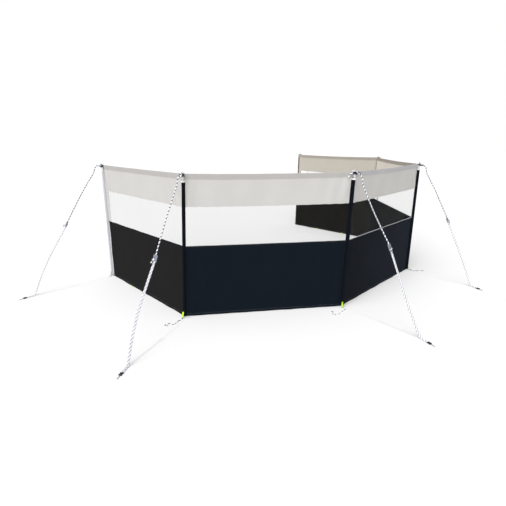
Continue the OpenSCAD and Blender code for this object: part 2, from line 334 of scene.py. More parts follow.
class Finish:
    """A material with one Principled shader, and short ways to add nodes to it."""

    def __init__(self, name, roughness, specular=0.5, metallic=0.0, alpha=1.0):
        self.material = bpy.data.materials.new(name)
        self.material.use_nodes = True
        self.tree = self.material.node_tree
        self.shader = self.tree.nodes["Principled BSDF"]
        for name, value in (("Specular IOR Level", specular), ("Metallic", metallic),
                            ("Alpha", alpha)):
            self.shader.inputs[name].default_value = value
        self.roughness = roughness
        coords = self.node("Attribute", attribute_name="cloth").outputs["Vector"]
        self.x, self.y, self.z = self.node("SeparateXYZ", coords).outputs
        self.place = self.node("TexCoord").outputs["Object"]

    def join(self, value, socket):
        if isinstance(value, (int, float)):
            socket.default_value = value
        elif isinstance(value, tuple):
            socket.default_value = (*value, 1)[:len(socket.default_value)]
        else:
            self.tree.links.new(value, socket)

    def node(self, kind, *values, **settings):
        """A new node with these settings, and with these values in its first sockets."""
        node = self.tree.nodes.new("ShaderNode" + kind)
        for key, value in settings.items():
            setattr(node, key, value)
        for value, socket in zip(values, node.inputs):
            if value is not None:
                self.join(value, socket)
        return node

    def math(self, kind, *values):
        return self.node("Math", *values, operation=kind).outputs[0]

    def noise(self, scale, detail=3, vector=None):
        return self.node("TexNoise", vector or self.place, None, scale, detail).outputs["Fac"]

    def between(self, share, low, high):
        """low to high, as share goes from 0 to 1."""
        return self.node("MapRange", share, 0.0, 1.0, low, high).outputs["Result"]

    def mix(self, share, first, second):
        node = self.node("Mix", data_type="RGBA")
        for name, value in (("Factor", share), ("A", first), ("B", second)):
            self.join(value, node.inputs[name])
        return node.outputs["Result"]

    def shade(self, colour, amount):
        """colour made lighter or darker by amount, a value about 1."""
        return self.node("VectorMath", colour, None, None, amount, operation="SCALE").outputs[0]

    def waves(self, along, length):
        return self.math("SINE", self.math("MULTIPLY", along, 2 * math.pi / length))

    def dashes(self, along, across, at, length=0.0055, width=0.0011):
        """1 on the stitches of a row across = at, and 0 elsewhere."""
        on_row = self.math("COMPARE", across, at, width / 2)
        place = self.math("FRACT", self.math("DIVIDE", along, length))
        return self.math("MULTIPLY", on_row, self.math("LESS_THAN", place, 0.68))

    def finish(self, colour, height=None, distance=0.0005, strength=0.5):
        self.join(colour, self.shader.inputs["Base Color"])
        self.join(self.roughness, self.shader.inputs["Roughness"])
        if height is not None:
            bump = self.node("Bump", strength, distance)
            self.join(height, bump.inputs["Height"])
            self.join(bump.outputs[0], self.shader.inputs["Normal"])
        return self.material


def woven(name, outside, inside=None, thread=None, rows=(), yarn=0.0011, specular=0.1,
          painted_light_ramp=None):
    """Plain-woven coated cloth with rows of stitches at these places across it. The last argument
    paints light: the cloth's tone at the start and at the end of a bay, a painted sheen ramp along
    the bay."""
    f = Finish(name, 0.85, specular)
    f.roughness = f.between(f.noise(35), 0.74, 0.95)
    warp, weft = f.waves(f.x, yarn), f.waves(f.y, yarn)
    weave = f.math("MULTIPLY", warp, weft)
    mottle = f.between(f.noise(5, 4), 0.955, 1.045)
    slub = f.between(f.noise(420, 2), 0.97, 1.03)
    tone = f.math("MULTIPLY", f.math("MULTIPLY", mottle, slub), f.between(weave, 0.99, 1.02))
    # Painted sheen: the tone ramps along the bay to stand in for light falling on the cloth
    if painted_light_ramp:
        tone = f.math("MULTIPLY", tone, f.between(f.math("MULTIPLY", f.x, 0.6), *painted_light_ramp))
    colour = f.mix(f.z, outside, inside) if inside else outside
    colour = f.shade(colour, tone)
    height = f.math("ADD", f.math("MULTIPLY", weave, 0.35), f.noise(300, 2))
    for at in rows:
        stitches = f.dashes(f.x, f.y, at)
        colour = f.mix(stitches, colour, thread)
        height = f.math("ADD", height, f.math("MULTIPLY", stitches, 1.6))
    return f.finish(colour, height, 0.0004, 0.35)


def webbing(name, colour, thread):
    """Ribbed narrow webbing with two rows of cross stitching."""
    f = Finish(name, 0.7, 0.25)
    ribs = f.waves(f.x, 0.0016)
    selvage = f.waves(f.y, 0.0030)
    weave = f.math("MULTIPLY", ribs, f.math("ADD", 1.0, f.math("MULTIPLY", selvage, 0.4)))
    colour = f.shade(colour, f.between(weave, 0.90, 1.02))
    f.roughness = f.between(f.noise(60), 0.6, 0.82)
    height = weave
    for at in (0.008, 0.030):
        stitches = f.dashes(f.y, f.x, at, 0.0036, 0.0012)
        colour = f.mix(stitches, colour, thread)
        height = f.math("ADD", height, stitches)
    return f.finish(colour, height, 0.0004, 0.5)


def metal(name, colour, along, low=0.22, high=0.42):
    """Zinc-plated steel with fine marks along it and faint spangle."""
    f = Finish(name, 0.3, 0.5, metallic=1.0)
    spangle = f.noise(140, 2)
    stretched = f.node("VectorMath", f.place, along, operation="MULTIPLY").outputs[0]
    marks = f.noise(1.0, 3, stretched)
    f.roughness = f.between(f.math("MULTIPLY", f.math("ADD", spangle, marks), 0.5), low, high)
    return f.finish(f.shade(colour, f.between(spangle, 0.86, 1.08)), marks, 0.0002, 0.25)


def moulded(name, colour):
    """Moulded plastic with a fine grain and lighter rubbed spots."""
    f = Finish(name, 0.45, 0.4)
    grain = f.noise(1500, 2)
    f.roughness = f.between(f.noise(45), 0.38, 0.55)
    return f.finish(f.shade(colour, f.between(f.noise(70, 4), 0.82, 1.2)), grain, 0.0002, 0.3)


def clear_sheet(name, alpha):
    """Clear flexible sheet: lets most light through, and shows faint waves in its gloss."""
    f = Finish(name, 0.1, 0.2, alpha=alpha)
    f.roughness = f.between(f.noise(6), 0.06, 0.16)
    height = f.noise(3.5, 2)
    colour = f.shade((0.006, 0.006, 0.006), f.between(f.noise(9), 0.9, 1.1))
    return f.finish(colour, height, 0.02, 0.5)


def rope_finish(name, pale, dark):
    """Laid rope: pale strands, darker as the third coordinate goes from 0 to 1."""
    f = Finish(name, 0.8, 0.2)
    yarns = f.waves(f.math("ADD", f.x, f.math("MULTIPLY", f.y, 0.004)), 0.0013)
    tone = f.math("MULTIPLY", f.between(yarns, 0.92, 1.04), f.between(f.noise(90), 0.9, 1.08))
    f.roughness = f.between(f.noise(200), 0.7, 0.9)
    return f.finish(f.shade(f.mix(f.z, pale, dark), tone), yarns, 0.0002, 0.4)


def cord_finish(name, pale, dark):
    """Thin braided cord with dark flecks."""
    f = Finish(name, 0.8, 0.2)
    f.roughness = f.between(f.noise(200), 0.7, 0.9)
    fleck = f.math("GREATER_THAN", f.noise(42, 2), 0.50)
    braid = f.noise(900, 2)
    return f.finish(f.shade(f.mix(fleck, pale, dark), f.between(braid, 0.85, 1.1)), braid, 0.0003)


def make_materials():
    cream, dark = (0.50, 0.47, 0.41), (0.20, 0.22, 0.26)
    hem, band = ({"thread": cream, "rows": (0.004, at)} for at in (0.007, 0.016))
    panel = {"thread": dark, "rows": (0.021,), "specular": 0.04}
    edged = {"rows": (0.0022,)}
    return {
        "hem": woven("hem_fabric", (0.395, 0.382, 0.370), (0.33, 0.30, 0.26), **hem),
        "band": woven("band_fabric", (0.510, 0.500, 0.482), (0.46, 0.43, 0.375), **band),
        # Painted light: a lighter, bluer copy of the hem cloth's outer face, for bay 3
        "hem_painted_light": woven("hem_painted_light_fabric", (0.425, 0.416, 0.424), (0.33, 0.30, 0.26), **hem),
        # Painted light: a much lighter copy of the band cloth's inner face, for bay 4
        "band_painted_light": woven("band_painted_light_fabric", (0.510, 0.500, 0.482), (0.670, 0.625, 0.550),
                           **band),
        # Painted shade: the pale end binding as it looks in shadow on the inside at pole 6
        "shaded_binding": woven("shaded_binding_tape", (0.140, 0.120, 0.105)),
        "panel_grey": woven("dark_grey_fabric", (0.0122, 0.0120, 0.0128),
                            (0.0095, 0.0092, 0.0082), **panel),
        "panel_navy": woven("dark_navy_fabric", (0.0052, 0.0084, 0.0130),
                            (0.0095, 0.0092, 0.0085), **panel),
        # Painted sheen: a lighter copy of the navy panel cloth, with a tone ramp along the bay, for
        # bays 3 and 4
        "panel_painted_sheen": woven("navy_fabric_painted_sheen", (0.0120, 0.0155, 0.0225),
                            (0.0075, 0.0080, 0.0092), painted_light_ramp=(0.50, 1.02), **panel),
        "tape": woven("dark_tape", (0.0070, 0.0090, 0.0125), None, (0.035, 0.040, 0.048),
                      rows=(0.003, 0.013), specular=0.05),
        "piping": woven("piping_cloth", (0.62, 0.64, 0.67)),
        "dull_piping": woven("dull_piping_cloth", (0.020, 0.021, 0.024)),
        "grey_piping": woven("grey_piping_cloth", (0.13, 0.14, 0.15)),
        "cream": woven("cream_tape", (0.74, 0.63, 0.47)),
        "beige": woven("beige_tape", (0.36, 0.33, 0.285)),
        "sleeve": woven("sleeve_fabric", (0.0038, 0.0052, 0.0088), None, (0.03, 0.04, 0.06),
                        specular=0.05, **edged),
        "end_sleeve": woven("end_sleeve_fabric", (0.55, 0.555, 0.585), None,
                            (0.72, 0.72, 0.72), **edged),
        "cuff": woven("cuff_fabric", (0.80, 0.80, 0.80), None, (0.55, 0.55, 0.55), **edged),
        "clear": clear_sheet("clear_window", 0.085),
        "clearer": clear_sheet("clear_back_window", 0.02),
        "steel": metal("steel_tube", (0.74, 0.75, 0.77), (700, 700, 30)),
        "wire": metal("ring_steel", (0.54, 0.55, 0.57), (300, 300, 300)),
        "pin": metal("pin_steel", (0.46, 0.45, 0.44), (300, 300, 300), 0.35, 0.6),
        "black": moulded("black_plastic", (0.010, 0.010, 0.012)),
        "foot": moulded("foot_plastic", (0.60, 0.63, 0.68)),
        "runner": moulded("runner_plastic", (0.20, 0.22, 0.265)),
        "rope": rope_finish("rope", (0.89, 0.90, 0.94), (0.045, 0.052, 0.075)),
        "cord": cord_finish("loose_cord", (0.78, 0.79, 0.83), (0.040, 0.043, 0.052)),
        "lime": webbing("lime_webbing", (0.58, 0.97, 0.035), (0.30, 0.70, 0.02)),
        "grey": webbing("grey_webbing", (0.50, 0.52, 0.55), (0.75, 0.75, 0.75)),
    }


# ---- shapes ----

class Shape:
    """Points, faces, and for each point its place on the cloth, rope or strap, in metres."""

    def __init__(self, points, faces, coords):
        self.points, self.faces, self.coords = points, faces, coords

    def placed(self, origin, x, y, z):
        """The shape with its own axes turned to x, y and z, and its origin moved."""
        turned = self.points @ np.array([x, y, z], float) + origin
        return Shape(turned, self.faces, self.coords)


def distances(path):
    """How far along a path each of its points lies."""
    return np.concatenate([[0], np.cumsum(np.linalg.norm(np.diff(path, axis=0), axis=1))])


def loft(rings, coords=None, closed=False):
    """A closed shape through loops of as many points each. coords is like rings."""
    rings = np.asarray(rings, float)
    count, size = rings.shape[:2]
    index = np.arange(count * size).reshape(count, size)
    rows = np.vstack([index, index[:1]]) if closed else index
    a, b = rows[:-1], rows[1:]
    faces = np.stack([a, np.roll(a, -1, 1), np.roll(b, -1, 1), b], -1).reshape(-1, 4).tolist()
    if not closed:
        for row, step in ((index[0], 1), (index[-1], -1)):
            for i in range(size // 2 - 1):
                faces.append([row[i], row[-1 - i], row[-2 - i], row[i + 1]][::step])
    points = rings.reshape(-1, 3)
    quads = points[np.array(faces)]
    volume = sum(
        (quads[:, 0] * np.cross(quads[:, i], quads[:, i + 1])).sum() for i in (1, 2))
    if volume < 0:
        faces = [face[::-1] for face in faces]
    if coords is None:
        coords = np.zeros((count, size, 3))
        coords[..., 0] = distances(rings.mean(1))[:, None]
        coords[..., 1] = distances(rings[0])[None, :]
    return Shape(points, faces, np.asarray(coords, float).reshape(-1, 3))


def piece(name, shapes, finish, replaced=(), sharp=35):
    """One object made of these shapes. It rides on the only body."""
    shapes = [shapes] if isinstance(shapes, Shape) else list(shapes)
    faces, first = [], 0
    for s in shapes:
        faces += [tuple(i + first for i in face) for face in s.faces]
        first += len(s.points)
    mesh = bpy.data.meshes.new(name)
    mesh.from_pydata(np.concatenate([s.points for s in shapes]).tolist(), [], faces)
    attribute = mesh.attributes.new("cloth", "FLOAT_VECTOR", "POINT")
    coords = np.concatenate([s.coords for s in shapes]).astype(np.float32)
    attribute.data.foreach_set("vector", coords.ravel())
    mesh.shade_smooth()
    mesh.set_sharp_from_angle(angle=math.radians(sharp))
    mesh.materials.append(MATERIAL[finish])
    made = add(name, mesh)
    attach(made, "root")
    if replaced:
        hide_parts(*replaced)
    return made


def whole_turn(count):
    """Angles evenly round a circle."""
    return np.linspace(0, 2 * math.pi, count, endpoint=False)


def smooth_path(points, step):
    """Points about step apart on a Catmull-Rom curve through points."""
    p = np.asarray(points, float)
    p = np.vstack([2 * p[0] - p[1], p, 2 * p[-1] - p[-2]])
    found = []
    for a, b, c, d in zip(p, p[1:], p[2:], p[3:]):
        count = max(2, math.ceil(np.linalg.norm(c - b) / step))
        t = np.arange(count)[:, None] / count
        found.append(0.5 * (2 * b + (c - a) * t + (2 * a - 5 * b + 4 * c - d) * t ** 2
                            + (3 * b - a - 3 * c + d) * t ** 3))
    return np.vstack([*found, p[-2:-1]])


def tube(path, radius, sides=10, lobes=0, closed=False, dark=(1.25, 1)):
    """A round tube, or a rope of twisted strands, along a path. radius may vary. dark is the
    number of dark strands and how dark they are."""
    path = np.asarray(path, float)
    radius = np.broadcast_to(radius, len(path))
    ahead, behind = np.roll(path, -1, 0), np.roll(path, 1, 0)
    if not closed:
        ahead[-1], behind[0] = path[-1], path[0]
    along = ahead - behind
    along = along / np.linalg.norm(along, axis=1)[:, None]
    side = np.cross(along[0], UP if abs(along[0][2]) < 0.9 else (1, 0, 0))
    sides_at = []
    for direction in along:
        side = unit(side - direction * (side @ direction))
        sides_at.append(side)
    side = np.array(sides_at)
    over = np.cross(along, side)
    length = distances(path)
    share = np.arange(sides) / sides
    turn = 2 * np.pi * (share[None, :] + (length[:, None] / ROPE_LAY if lobes else 0))
    hollow = 1 - np.abs(np.cos(np.pi * lobes * share)) if lobes else 0 * share
    reach = radius[:, None] * (1 - VALLEY * hollow)[None, :]
    rings = path[:, None, :] + reach[..., None] * (
        np.cos(turn)[..., None] * side[:, None, :] + np.sin(turn)[..., None] * over[:, None, :])
    coords = np.zeros(rings.shape)
    coords[..., 0], coords[..., 1] = length[:, None], share[None, :]
    if lobes:
        coords[..., 2] = dark[1] * (share < dark[0] / lobes)[None, :]
    return loft(rings, coords, closed)


def rope(points, dark=(1.25, 1)):
    """Three-strand rope through points, kept above the ground."""
    path = smooth_path(points, 0.0045)
    path[:, 2] = np.maximum(path[:, 2], ROPE_RADIUS + ROPE_REST)
    return tube(path, ROPE_RADIUS, sides=12, lobes=3, dark=dark)


def lathe(profile, sides=32):
    """A shape turned about Z from (radius, z) points, closed at both ends."""
    turn = 2 * np.pi * np.arange(sides) / sides
    circle = np.stack([np.cos(turn), np.sin(turn), 0 * turn], -1)
    return loft([circle * max(r, 1e-4) + UP * z for r, z in profile])


def rounded_rectangle(width, height, radius, steps=4):
    """Points of a rectangle with round corners, about the origin."""
    radius = max(min(radius, width / 2 - 1e-5, height / 2 - 1e-5), 1e-5)
    points = []
    for corner, (sx, sy) in enumerate(((1, 1), (-1, 1), (-1, -1), (1, -1))):
        for a in np.linspace(0, math.pi / 2, steps):
            a += corner * math.pi / 2
            points.append((sx * (width / 2 - radius) + radius * math.cos(a),
                           sy * (height / 2 - radius) + radius * math.sin(a)))
    return np.array(points)


def block(size, radius, waist=0.0):
    """A block along X with rounded edges, centred, and narrower in the middle by waist."""
    length, width, height = size
    bends = np.linspace(0, math.pi / 2, 4)
    ends = [(radius * (1 - math.cos(a)), radius * (1 - math.sin(a))) for a in bends]
    stations = [(-length / 2 + x, inset) for x, inset in ends]
    stations += [(t * (length / 2 - radius), waist * math.cos(t * math.pi / 2) ** 2)
                 for t in np.linspace(-0.9, 0.9, 9)]
    stations += [(length / 2 - x, inset) for x, inset in reversed(ends)]
    rings = []
    for x, inset in stations:
        outline = rounded_rectangle(width - 2 * inset, height - 2 * min(inset, radius), radius)
        rings.append([(x, y, z) for y, z in outline])
    return loft(rings)


def strap(path, across, width, thick):
    """A flat strap along a path, width across and thick the other way."""
    path = np.asarray(path, float)
    along = np.gradient(path, axis=0)
    across = unit(across)
    normal = np.cross(along, across)
    normal = normal / np.linalg.norm(normal, axis=1)[:, None]
    outline = rounded_rectangle(width, thick, thick * 0.45, 3)
    rings = [p + outline[:, :1] * across + outline[:, 1:] * n for p, n in zip(path, normal)]
    coords = np.zeros(np.shape(rings))
    coords[..., 0], coords[..., 1] = distances(path)[:, None], outline[None, :, 0]
    return loft(rings, coords)


# ---- cloth ----

# Each bay's finishes, where they differ
# Bay 3's hem takes the hem cloth with painted light
HEM = {3: "hem_painted_light"}
# Bay 4's band and its band tapes take the band cloth with painted light on the inside
BAND = {4: "band_painted_light"}
# Bays 3 and 4 take the navy panel cloth with painted sheen
DARK = {1: "panel_grey", 2: "panel_navy", 3: "panel_painted_sheen", 4: "panel_painted_sheen", 5: "panel_grey"}


def shares(first=0.0, last=1.0, count=121):
    """Places along a bay, closer together near its ends."""
    t = np.linspace(0, 1, count)
    t = 0.45 * t + 0.55 * (0.5 - 0.5 * np.cos(np.pi * t))
    return first + (last - first) * t


def cloth_loop(bay, u, profile, edge_z):
    """Loops of a cloth profile of (height, out, side) points, one loop for each share u."""
    z, out, side = (np.array(column)[None, :] for column in zip(*profile))
    rings = bay.point(u[:, None], z, out)
    coords = np.zeros(rings.shape)
    coords[..., 0] = u[:, None] * bay.width
    coords[..., 1] = np.abs(z - edge_z)
    coords[..., 2] = side
    return loft(rings, coords)


def folded_profile(low, high, wall, inner):
    """A strip folded over an edge at the top, round outside, open below."""
    outer = wall + inner
    z = np.linspace(low, high - outer, 4)
    bend = np.linspace(0, math.pi, 9)
    outside = ([(h, outer, 0) for h in z]
               + [(high - outer + outer * math.sin(a), outer * math.cos(a), 0) for a in bend[1:-1]]
               + [(h, -outer, 1) for h in z[::-1]])
    inside = ([(h, -inner, 1) for h in z]
              + [(high - outer + inner * math.sin(a), -inner * math.cos(a), 0) for a in bend[1:-1]]
              + [(h, inner, 0) for h in z[::-1]])
    return outside + inside


def strip(name, bay, u, low, high, out, thick, rows, finish, replaced=()):
    """A strip of cloth along a bay between two heights, up its outer face and down its inner."""
    z = np.linspace(low, high, rows)
    profile = [(h, out + thick / 2, 0) for h in z] + [(h, out - thick / 2, 1) for h in z[::-1]]
    return piece(name, cloth_loop(bay, u, profile, low), finish, replaced)


def tape(name, k, steps, heights, finish):
    """A tape beside pole k through these heights. steps are its corners, each a distance from
    the pole and out of the cloth."""
    rings = [[beside(k, d, z, out) for d, out in steps] for z in heights]
    piece(name, loft(rings), finish)


def add_bay(k):
    bay, poles = BAY[k], (k, k + 1)
    u = shares()
    overlap = 0.020
    hem = piece(f"hem_{k}", cloth_loop(bay, u, folded_profile(HEM_Z, TOP_Z, 0.0010, 0.0012), HEM_Z),
                HEM.get(k, "hem"), [f"top_hem_{k}"])

    low, high = BAND_Z - 0.008, HEM_Z + overlap
    band = strip(f"band_{k}", bay, u, low, high, 0, CLOTH, 22, BAND.get(k, "band"),
                 [f"upper_band_{k}"])

    first, last = bay.shares_of(f"window_{k}")
    low, high = WINDOW_Z - 0.012, BAND_Z + 0.012
    lapped = 0.010 / bay.width
    span = shares(first - lapped * (first > 0.01), last + lapped * (last < 0.99), 81)
    out = -(CLOTH + SHEET) / 2 - LAYER_GAP
    window = strip(f"window_sheet_{k}", bay, span, low, high, out, SHEET, 16,
                   "clear" if k < 4 else "clearer", [f"window_{k}"])

    low, high = GAP_Z, WINDOW_Z + 0.002
    panel = strip(f"panel_{k}", bay, u, low, high, 0, CLOTH, 44, DARK[k],
                  [f"lower_panel_{k}"])
    add_bay_seams(k, bay, u)


def add_bay_seams(k, bay, u):
    """Tapes, piping and hems sewn along one bay."""
    face, thick = CLOTH / 2 + LAYER_GAP, 0.0008
    for side, word in ((1, "outer"), (-1, "inner")):
        out = side * (face + thick / 2)
        low = BAND_Z - 0.010
        strip(f"band_tape_{word}_{k}", bay, u, low, low + 0.020, out, thick, 3,
              BAND.get(k, "band"))
        low = WINDOW_Z - 0.014
        strip(f"window_tape_{word}_{k}", bay, u, low, low + 0.016, out, thick, 3,
              "tape")
    u_line = shares(0.001, 0.999, 161)
    line = bay.point(u_line, WINDOW_Z + 0.0036, face)
    piping = {1: "dull_piping", 2: "grey_piping"}.get(k, "piping")
    piece(f"piping_{k}", tube(line, 0.0021, 8), piping)
    line = bay.point(u_line, GAP_Z + 0.0006, face + 0.0004)
    piece(f"ground_cord_{k}", tube(line, 0.0013, 6), "tape")
    low = GAP_Z + 0.001
    strip(f"ground_hem_{k}", bay, u, low, low + 0.025, -face - thick / 2, thick, 3,
          DARK[k])


def add_end_strips():
    """The pale strips beside the window at the two free ends, and the bound free edges."""
    for k, bay in zip(END_POLES, (BAY[1], BAY[5])):
        first, last = bay.shares_of(f"window_{bay.number}")
        u = np.linspace(0, first, 12) if k == 1 else np.linspace(last, 1, 12)
        low, high = WINDOW_Z + 0.002, BAND_Z - 0.002
        made = strip(f"end_strip_{k}", bay, u, low, high, 0, CLOTH, 14, "band", ["end_hems"])
        sign = 1 if k == 1 else -1
        turns = [(0.009, 1), (0.001, 1), (-0.0012, 0.4), (-0.0012, -0.4), (0.001, -1), (0.009, -1)]
        steps = [(sign * (d - FREE_EDGE), o * 0.0022) for d, o in turns]
        steps += [(sign * (max(d, 0.0002) - FREE_EDGE), o * 0.0012) for d, o in turns[::-1]]
        # The binding at pole 6 is painted shade: a brown copy of the pale end binding
        tape(f"edge_binding_{k}", k, steps, np.linspace(GAP_Z + 0.004, TOP_Z - 0.002, 60),
             "shaded_binding" if k == 6 else "end_sleeve")
        if k == 1:
            add_seam(1, "edge_facing", 0.0165, 0.024,
                     np.linspace(GAP_Z + 0.004, WINDOW_Z - 0.010, 40), "cuff", 0.0012)


# ---- sleeves on the poles ----

def pocket_path(k, z, grow, slack):
    """Across a sleeve at height z: flap, side, round the pole, side, flap."""
    half, flap = SLEEVE_HALF[k - 1], FLAP[k - 1]
    out = CLOTH / 2 + 0.0006 + grow
    axis, (forward, across) = POLE[k].at(z), directions(k)
    radius = TUBE_RADIUS + 0.0009 + slack + grow
    path, arcs = [], []
    for sign in (1, -1):
        base = beside(k, sign * (half + grow), z, out)
        offset = base - axis
        x, y = offset @ across * sign, offset @ forward
        away = math.hypot(x, y)
        arcs.append(math.atan2(y, x) + math.acos(min(1, radius / away)))
        path.append([beside(k, sign * (half + flap), z, out),
                     beside(k, sign * (half + flap * 0.5), z, out), base])
    start, end = arcs[0], math.pi - arcs[1]
    if across @ (path[0][0] - axis) < 0:
        across = -across
    around = [axis + radius * (math.cos(a) * across + math.sin(a) * forward)
              for a in np.linspace(start, end, 15)]
    return np.array(path[0] + around + path[1][::-1])


def sleeve_shape(k, low, high, rows, wall, lift=0.0, top_flare=0.0):
    """A sleeve of the cloth round pole k, with its flaps on the cloth behind."""
    rings, coords = [], []
    for z in np.linspace(low, high, rows):
        slack = lift + 0.0004 * (1 + math.sin(2 * math.pi * z / 0.27 + k)
                                 * math.sin(2 * math.pi * z / 0.61 + 2 * k))
        slack += top_flare * math.exp(-((high - z) / 0.03) ** 2)
        inner, outer = pocket_path(k, z, lift, slack), pocket_path(k, z, lift + wall, slack)
        rings.append([*outer, *inner[::-1]])
        across = distances(outer)
        row = [(z, y, 0) for y in np.minimum(across, across[-1] - across)]
        coords.append(row + row[::-1])
    return loft(rings, coords), across[-1]


def add_sleeve(k):
    finish = "end_sleeve" if k in END_POLES else "sleeve"
    shape, width = sleeve_shape(k, SLEEVE_LOW, SLEEVE_TOP, 90, 0.0011, top_flare=0.0012)
    made = piece(f"pole_sleeve_{k}", shape, finish, [f"sleeve_{k}"])
    cuff, _ = sleeve_shape(k, SLEEVE_TOP - 0.014, SLEEVE_TOP + 0.0015, 5, 0.0012, lift=0.0026)
    piece(f"sleeve_cuff_{k}", cuff, "cuff")
    foot_cuff, _ = sleeve_shape(k, SLEEVE_LOW - 0.001, SLEEVE_LOW + 0.018, 5, 0.0009, lift=0.0018)
    piece(f"sleeve_foot_hem_{k}", foot_cuff, finish)


def add_corner_tapes(k):
    """Tapes inside the corner at pole k: dark below, beige on the pale band."""
    inside = -(CLOTH / 2 + 0.0024)
    across = (-0.011, -0.004, -0.0001, 0.004, 0.011)
    steps = [(d, inside) for d in across] + [(d, inside - 0.001) for d in across[::-1]]
    tape(f"corner_tape_low_{k}", k, steps, np.linspace(GAP_Z + 0.003, BAND_Z - 0.012, 40),
         "tape")
    tape(f"corner_tape_high_{k}", k, steps, np.linspace(BAND_Z - 0.010, HEM_Z + 0.036, 40),
         "beige")


def add_seam(k, name, first, last, heights, finish, raised=0.0014, side=1):
    """A narrow tape down the outer or inner face of the cloth beside pole k."""
    low, high = side * (CLOTH / 2 + 0.0003), side * (CLOTH / 2 + raised)
    tape(name, k, [(first, low), (first, high), (last, high), (last, low)], heights, finish)


def add_corner_loop(k):
    """The webbing loop that holds the top corner of the cloth to pole k."""
    z, height = (HEM_Z + 0.004, 0.026) if k in END_POLES else (HEM_Z + 0.010, 0.012)
    reach = 0.0113
    axis, (forward, across) = POLE[k].at(z), directions(k)
    wall = beside(k, 0, z, CLOTH / 2 + 0.0022)
    back = (wall - axis) @ forward
    path = []
    for a in np.linspace(-0.5 * math.pi, 1.5 * math.pi, 33):
        x, y = reach * math.cos(a), reach * math.sin(a)
        if y < 0:
            x, y = x * (1 - 0.25 * (y / reach) ** 2), y * (-back - 0.001) / reach
        path.append(axis + x * across + y * forward)
    piece(f"corner_loop_{k}", strap(path, UP, height, 0.0012), "cuff")


# ---- poles ----

# How far the longer bar in front of a cap stands to one side, where that isn't 6 mm to the left
BAR_ASIDE = {1: 0.004, 2: 0.008}


def add_pole(k):
    node = frame["nodes"][f"pole_{k}"]
    node.data.materials.clear()
    node.data.materials.append(MATERIAL["steel"])
    pole = POLE[k]
    forward, across = directions(k)
    cap = lathe([(0.0100, 0), (0.0122, 0.0003), (0.0128, 0.0012), (0.0128, 0.0040), (0.0121, 0.0050),
                 (0.0121, 0.0150), (0.0112, 0.0182), (0.0085, 0.0198), (0.0042, 0.0200),
                 (0.0038, 0.0196)])
    ribs = [block((0.0130, 0.0016, 0.0012), 0.0004).placed(
        UP * 0.0100 + 0.0121 * np.array([math.cos(a), math.sin(a), 0]),
        UP, (-math.sin(a), math.cos(a), 0), (math.cos(a), math.sin(a), 0))
        for a in np.arange(0, 2 * math.pi, math.pi / 8)]
    shapes = [s.placed(pole.at(CAP_LOW), across, forward, pole.axis) for s in (cap, *ribs)]
    slant = -0.36 if k in (1, 2, 5) else 0.33
    long, aside = 0.028 if k in END_POLES else 0.052, BAR_ASIDE.get(k, -0.006)
    for length, tilt, x, z, out in ((long, slant, aside, 0.011, 0.0250),
                                    (0.024, -slant, 0.008, 0.001, 0.0155)):
        bar = block((length, 0.011, 0.0125), 0.0040)
        along = unit(across + tilt * UP)
        middle = pole.at(CAP_LOW + z) + across * x + forward * out
        shapes.append(bar.placed(middle, along, forward, np.cross(along, forward)))
    piece(f"pole_cap_{k}", shapes, "black", ["pole_caps"])

    button = lathe([(0.0030, 0), (0.0030, 0.0008), (0.0022, 0.0018), (0.0008, 0.0021)], 16)
    shapes = []
    for a in (0.5, 0.5 + math.pi):
        facing = math.cos(a) * across + math.sin(a) * forward
        shapes.append(button.placed(pole.at(SLEEVE_TOP + 0.018) + facing * 0.0092,
                                    np.cross(pole.axis, facing), pole.axis, facing))
    piece(f"pole_button_{k}", shapes, "black")

    plug = lathe([(0.0090, 0), (0.0112, 0.0002), (0.0120, 0.0012), (0.0120, 0.0034),
                  (0.0112, 0.0042), (0.0112, 0.0062), (0.0120, 0.0070), (0.0120, 0.0100),
                  (0.0110, 0.0142), (0.0100, 0.0150)])
    piece(f"foot_plug_{k}", plug.placed(pole.foot, across, forward, UP), "foot",
          ["pole_feet"])


# ---- guy ropes ----

RUNNER_HALF = 0.037     # from a runner's middle to where its rope leaves it
RUNNERS = solids_of("guy_runners")
HOOKS = solids_of("guy_hooks")
PINS = solids_of("hook_pins")


def runner_of(k):
    low, high = (np.array(c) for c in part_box(f"guy_rope_{k}"))
    centre, axes = box_axes(nearest(RUNNERS, (low + high) / 2))
    down = axes[0] * (-1 if axes[0][2] > 0 else 1)
    return centre, down


def guy_out(k):
    """Level direction in which the guy rope leaves pole k."""
    return unit((runner_of(k)[0] - POLE[k].at(CAP_TOP)) * (1, 1, 0))


def hook_of(k):
    """Start of the hook of guy rope k, its direction along the ground, and its length."""
    points = points_of(f"guy_rope_{k}")
    landed = points[points[:, 2] < 0.010].mean(0)
    solid = nearest(HOOKS, landed)
    centre, axes = box_axes(solid)
    away = unit(axes[0] * (1, 1, 0) * np.sign(axes[0] @ (centre - landed)))
    reach = (solid - centre) @ away
    start = (centre + away * reach.min()) * (1, 1, 0)
    return start, away, reach.max() - reach.min()


def knot(centre, along, radius, turns=3, rise=0.0088):
    """Turns of rope wound tightly round a line."""
    along = unit(along)
    side = unit(np.cross(along, UP))
    over = np.cross(along, side)
    a = np.linspace(0, 2 * math.pi * turns, 14 * turns)
    path = (centre + np.outer((a / a[-1] - 0.5) * rise * turns, along)
            + radius * (np.outer(np.cos(a), side) + np.outer(np.sin(a), over)))
    return tube(path, ROPE_RADIUS * 0.9, sides=9, lobes=3)


def knot_of(k, eye, out):
    return eye + out * KNOT_OUT - UP * KNOT_DROP[k - 1]


